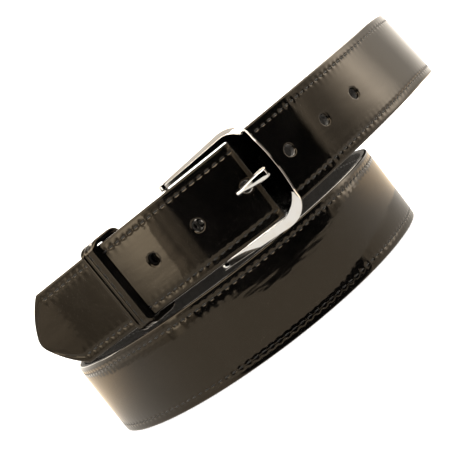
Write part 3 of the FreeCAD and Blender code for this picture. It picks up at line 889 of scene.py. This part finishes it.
def lining_finish():
    """Black lining leather: fine pebbled grain with rubbed high spots."""
    f = Finish("lining_grain")
    place = f.place()
    cells = f.node("ShaderNodeTexVoronoi", {"feature": "DISTANCE_TO_EDGE"}, Vector=place,
                   Scale=1150.0)
    pores = f.noise(place, 2600.0, 3.0, 0.6)
    wide = f.noise(place, 55.0, 3.0, 0.5)
    grain = f.band(cells, 0.0, 0.28)
    tone = f.blend(grain, (0.003, 0.0026, 0.0022, 1), (0.0095, 0.0082, 0.0068, 1))
    tone = f.blend(f.band(wide, 0.35, 0.75, 0.0, 0.5), tone, (0.012, 0.0102, 0.0085, 1))
    rough = 0.56 + 0.14 * f.band(pores, 0.35, 0.7) - 0.08 * grain
    relief = f.bump(grain + 0.25 * pores, 0.00012)
    f.set(Base_Color=tone, Roughness=rough, Normal=relief)
    f.shader.inputs["Specular IOR Level"].default_value = 0.3
    return f


def thread_finish():
    """Waxed black thread with its twist showing."""
    f = Finish("waxed_thread")
    place = f.place()
    twist = f.node("ShaderNodeTexWave", {"bands_direction": "DIAGONAL"}, Vector=place,
                   Scale=520.0, Distortion=1.2, Detail=2.0)
    fuzz = f.noise(place, 2400.0, 2.0, 0.6)
    tone = f.blend(twist, (0.0012, 0.0011, 0.001, 1), (0.006, 0.0054, 0.005, 1))
    f.set(Base_Color=tone, Roughness=0.3 + 0.2 * f.band(fuzz, 0.35, 0.7),
          Normal=f.bump(twist, 0.00006))
    return f


def nickel_finish(name, tone, rough):
    """Polished plate: a hint of buffing lines, hairline scratches and cloudy handling."""
    f = Finish(name)
    place = f.place()
    buff = f.noise(f.stretch(place, (160.0, 160.0, 3800.0)), 1.0, 2.0, 0.6)
    cloud = f.noise(place, 130.0, 3.0, 0.5)
    scratch = f.node("ShaderNodeTexVoronoi", {"feature": "DISTANCE_TO_EDGE"},
                     Vector=f.stretch(place, (240.0, 240.0, 900.0)), Scale=1.6)
    line = f.band(scratch, 0.0, 0.02, 1.0, 0.0)
    warm = tuple(c * k for c, k in zip(tone[:3], (0.97, 0.94, 0.9))) + (1,)
    colour = f.blend(f.band(cloud, 0.35, 0.7), tone, warm)
    roughness = rough + 0.035 * f.band(cloud, 0.4, 0.8) + 0.03 * line
    relief = f.bump(buff, 0.000006)
    f.set(Base_Color=colour, Roughness=roughness, Normal=relief, Metallic=1.0)
    return f


def core_finish():
    """Bonded-leather filler board, painted over at the edge."""
    f = Finish("filler_board")
    place = f.place()
    fibre = f.noise(f.stretch(place, (900.0, 900.0, 300.0)), 1.0, 4.0, 0.65)
    tone = f.blend(f.band(fibre, 0.35, 0.7), (0.006, 0.0055, 0.005, 1), (0.014, 0.0125, 0.011, 1))
    f.set(Base_Color=tone, Roughness=0.55 + 0.2 * f.band(fibre, 0.3, 0.7),
          Normal=f.bump(fibre, 0.0001))
    return f


# ---- making the belt -----------------------------------------------------------------
patent = patent_finish()
lining = lining_finish()
thread = thread_finish()
filler = core_finish()
plate = nickel_finish("buckle_nickel", (0.78, 0.77, 0.75, 1), 0.05)
fastener = nickel_finish("fastener_nickel", (0.62, 0.61, 0.59, 1), 0.16)


def finish_piece(obj, body, slot, finish, *replaced):
    finish.dress(obj)
    if replaced:
        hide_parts(*replaced)
    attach(obj, body)


FACE_STEP = STITCH_PITCH / 5
PLAIN_STEP = 2.6
POCKET_GAP = 0.45
punch = hole_cutter(HOLE_RADIUS, 1.0)
pocket_local = make_prong(POCKET_GAP, "prong_pocket_cutter")

face = strap_layer("patent_face", face_section(), FACE_STEP)
cut_away(face, punch)
wrap(face)
core = strap_layer("strap_filler", filler_section(), PLAIN_STEP)
cut_away(core, punch)
wrap(core)
back = strap_layer("strap_lining_leather", lining_section(), PLAIN_STEP)
cut_away(back, punch)
wrap(back)
for layer in (face, core, back):
    cut_away(layer, pocket_local)
    smooth(layer, 35)
for tool in (punch, pocket_local):
    discard(tool)
finish_piece(face, "strap", "patent_leather", patent, "strap_face")
finish_piece(core, "strap", "core_board", filler, "strap_core")
finish_piece(back, "strap", "lining_leather", lining, "strap_lining")

seam = stitch_rows("face_stitches", THICK / 2 - 0.27, 0.56)
finish_piece(seam, "strap", "thread", thread, "thread_face")
back_seam = stitch_rows("lining_stitches", -THICK / 2 + 0.02, 0.5)
finish_piece(back_seam, "strap", "thread", thread, "thread_lining")

finish_piece(make_fold(), "strap", "patent_leather", patent, "fold_tab")
finish_piece(make_frame(), "buckle", "buckle_plate", plate, "buckle_frame")
finish_piece(make_prong(0, "prong_plated"), "prong", "buckle_plate", plate, "prong")
finish_piece(make_keeper(), "keeper", "patent_leather", patent, "keeper_band")
finish_piece(make_keeper_stitches(), "keeper", "thread", thread, "keeper_thread")

for name, finish in (("hinge_pin", plate), ("fold_posts", fastener), ("fold_screws", fastener),
                     ("keeper_staple", fastener)):
    finish.dress(frame["nodes"][name])


# ---- floor, light and camera ---------------------------------------------------------
def sweep():
    """A pale floor that curves up into the backdrop all round."""
    select_nothing()
    bpy.ops.mesh.primitive_circle_add(vertices=96, radius=2.2, fill_type="NGON",
                                      location=(0, 0, -0.0003))
    obj = bpy.context.object
    obj.name = "floor"
    bpy.ops.object.mode_set(mode="EDIT")
    bpy.ops.mesh.select_all(action="SELECT")
    bpy.ops.mesh.select_mode(type="EDGE")
    bpy.ops.mesh.region_to_loop()
    for out, up in ((0.3, 0.03), (0.25, 0.12), (0.18, 0.25), (0.05, 0.4), (0.0, 2.5)):
        grow = 1 + out / 2.5
        bpy.ops.mesh.extrude_region_move(TRANSFORM_OT_translate={"value": (0, 0, up)})
        bpy.ops.transform.resize(value=(grow, grow, 1), center_override=(0, 0, 0))
    bpy.ops.object.mode_set(mode="OBJECT")
    bpy.ops.object.transform_apply(location=True, rotation=True, scale=True)
    f = Finish("pale_floor")
    f.set(Base_Color=(0.9, 0.9, 0.9, 1), Roughness=0.9, Emission_Color=(1, 1, 1, 1))
    f.shader.inputs["Emission Strength"].default_value = 0.55
    f.shader.inputs["Specular IOR Level"].default_value = 0.0
    f.dress(obj)
    obj.visible_glossy = False
    smooth(obj, 60)


def mirrored_table():
    """The lit table top as the polish sees it: a ring round the belt, for reflections only."""
    turns = np.radians([-180, -140, -100, -75, -55, -40, -24, -8, 14, 34, 52, 66, 90, 140, 180])
    reach = [0.4, 0.4, 0.4, 0.4, 0.42, 0.44, 0.43, 0.34, 0.28, 0.275, 0.29, 0.31, 0.39, 0.4, 0.4]
    select_nothing()
    bpy.ops.mesh.primitive_circle_add(vertices=180, radius=0.2, fill_type="NOTHING")
    obj = bpy.context.object
    obj.name = "table_in_polish"
    bpy.ops.object.mode_set(mode="EDIT")
    bpy.ops.mesh.select_all(action="SELECT")
    bpy.ops.mesh.extrude_edges_move(TRANSFORM_OT_translate={"value": (0, 0, 0.1)})
    bpy.ops.object.mode_set(mode="OBJECT")
    points = points_of(obj)
    turn = np.arctan2(points[:, 0], -points[:, 1])
    far = points[:, 2] > 0.05
    wide = np.interp(turn, turns, reach)
    near = 1 / np.hypot(np.sin(turn) / 0.128, np.cos(turn) / 0.121)
    size = np.where(far, wide, near)
    flat = np.stack([np.sin(turn) * size, -np.cos(turn) * size, 0 * size - 0.0005], 1)
    move_points(obj, flat)
    f = Finish("table_glow")
    _, depth, _ = f.split(f.place())
    f.glow(f.blend(f.band(depth, -0.08, 0.12), (1.0, 0.96, 0.9, 1), (1.75, 1.42, 1.05, 1)))
    f.dress(obj)
    light_only(obj)


def light_only(obj):
    """Seen in the polish, but not by the lens."""
    obj.visible_camera = False
    obj.visible_diffuse = False
    obj.visible_shadow = False


def strip_light():
    """A narrow upright light on the left, brighter towards its top."""
    select_nothing()
    bpy.ops.mesh.primitive_plane_add(size=1)
    obj = bpy.context.object
    obj.name = "strip_light"
    (x0, y0), (x1, y1) = STRIP_LEFT, STRIP_RIGHT
    corners = [(x0, y0, -0.02), (x1, y1, -0.02), (x0, y0, 0.12), (x1, y1, 0.12)]
    move_points(obj, corners)
    f = Finish("strip_glow")
    across, _, up = f.split(f.place())
    fade = f.band(across, x0, x0 + (x1 - x0) * 0.7)
    level = fade * f.band(up, -0.01, 0.085, 0.15, 1.0)
    bright = (STRIP_LEVEL, STRIP_LEVEL * 0.95, STRIP_LEVEL * 0.86, 1)
    f.glow(f.blend(level, (0.5, 0.46, 0.4, 1), bright))
    f.dress(obj)
    light_only(obj)


def studio():
    """Warm light all round, with a dark opening on the side the belt faces."""
    world = bpy.data.worlds.new("studio")
    bpy.context.scene.world = world
    world.use_nodes = True
    f = Nodes(world.node_tree)
    x, y, z = f.split(f.node("ShaderNodeTexCoord", {}, out=0))
    turn = f.node("ShaderNodeMath", {"operation": "ARCTAN2"}, x, y * -1) / (2 * math.pi) + 0.5
    stops = [((a + 180) / 360, (v / PEAK,) * 3) for a, v in ROUND_THE_ROOM]
    ring = f.node("ShaderNodeValToRGB", {"stops": stops}, turn)
    ring = f.node("ShaderNodeSeparateColor", {}, ring) * PEAK
    calm = f.node("ShaderNodeMath", {"operation": "MINIMUM"}, ring, 0.9)
    near = f.band(z, -0.16, -0.11)
    ring = calm * (1 - near) + ring * near * f.band(z, -0.12, -0.01, 0.62, 1.0)
    ring = ring * f.band(z, 0.25, 0.5, 1.0, 0.0)
    boxes = f.band(z, 0.4, 0.47) * f.band(z, 0.6, 0.67, 1.0, 0.0) * BOX_LEVEL
    overhead = f.band(z, 0.55, 0.68, 0.0, OVERHEAD_LEVEL) + boxes
    backdrop = f.nodes["Background"]
    backdrop.inputs[0].default_value = (1.0, 0.92, 0.81, 1)
    f.links.new((ring + overhead).link, backdrop.inputs[1])


OVERHEAD_LEVEL = 0.72
BOX_LEVEL = 5.5
STRIP_LEFT, STRIP_RIGHT = (-0.330, -0.226), (-0.285, -0.274)
STRIP_LEVEL = 4.2
PEAK = 5.0
ROUND_THE_ROOM = [(-180, 2.2), (-140, 1.9), (-110, 1.1), (-60, 1.1), (-54, 1.2), (-52, 1.5),
                  (-49.5, 0.45), (-48, 0.95), (-45, 0.6), (-41.2, 0.55), (-40.2, 0.0),
                  (74.5, 0.0), (77, 1.25),
                  (81, 0.75), (86, 0.9), (92, 2.0), (101, 4.6), (112, 1.7), (124, 1.2),
                  (140, 1.9), (180, 2.2)]

sweep()
mirrored_table()
strip_light()
studio()


def lamp(name, at, aim, size, watts, colour):
    select_nothing()
    bpy.ops.object.light_add(type="AREA", location=at)
    obj = bpy.context.object
    obj.name = name
    obj.data.shape = "RECTANGLE"
    obj.data.size, obj.data.size_y = size
    obj.data.energy = watts
    obj.data.color = colour
    obj.rotation_euler = (Vector(at) - Vector(aim)).to_track_quat("Z", "Y").to_euler()
    obj.visible_glossy = False


lamp("overhead_box", (0.1, 0.1, 1.3), (0, 0, 0), (1.2, 0.9), 9.0, (1.0, 0.97, 0.93))

camera_data = bpy.data.cameras.new("camera")
camera_data.lens = 85.9
camera_data.sensor_width = 36.0
camera_data.dof.use_dof = False
camera_data.clip_start, camera_data.clip_end = 0.01, 20.0
camera = bpy.data.objects.new("camera", camera_data)
bpy.context.scene.collection.objects.link(camera)
CAMERA_AT = Vector((-0.0155, -0.5655, 0.0878))
PITCH_DOWN = math.radians(4.91)
ROLL = math.radians(-37.64)
look = Matrix.Rotation(math.radians(90) - PITCH_DOWN, 4, "X") @ Matrix.Rotation(ROLL, 4, "Z")
camera.matrix_world = Matrix.Translation(CAMERA_AT) @ look
bpy.context.scene.camera = camera

bpy.context.scene.view_settings.view_transform = "Standard"
